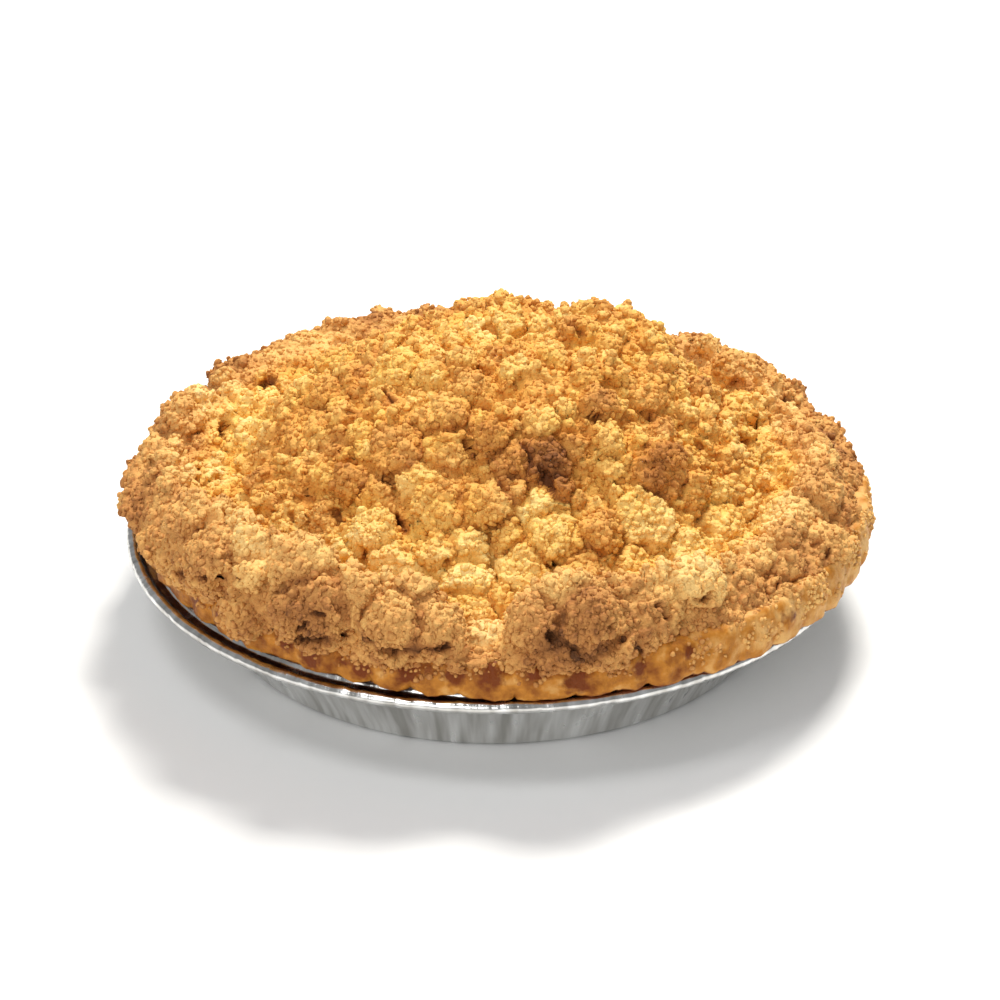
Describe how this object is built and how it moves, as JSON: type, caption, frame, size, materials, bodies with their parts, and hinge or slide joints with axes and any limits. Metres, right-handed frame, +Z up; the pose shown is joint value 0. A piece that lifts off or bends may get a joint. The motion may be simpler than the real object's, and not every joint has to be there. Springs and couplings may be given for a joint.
{
  "type": "crumb-topped apple pie in a foil tin",
  "caption": "Whole round pie under a tall heap of baked crumbs, with a crimped pastry edge, in the pleated foil tin it was baked in.",
  "frame": {"origin": "centre of the tin's flat base, on its underside", "axes": "+Z up through the pie, and -Y towards the front, where the crumb ring has its notch"},
  "size_m": [0.2321, 0.2306, 0.0923],
  "materials": {
    "foil": "bright pressed foil",
    "pastry": "baked shortcrust",
    "crumb": "baked crumb"
  },
  "bodies": {
    "root": {"foil_tin": "foil", "pastry_crust": "pastry", "crumb_topping": "crumb"}
  },
  "joints": []
}
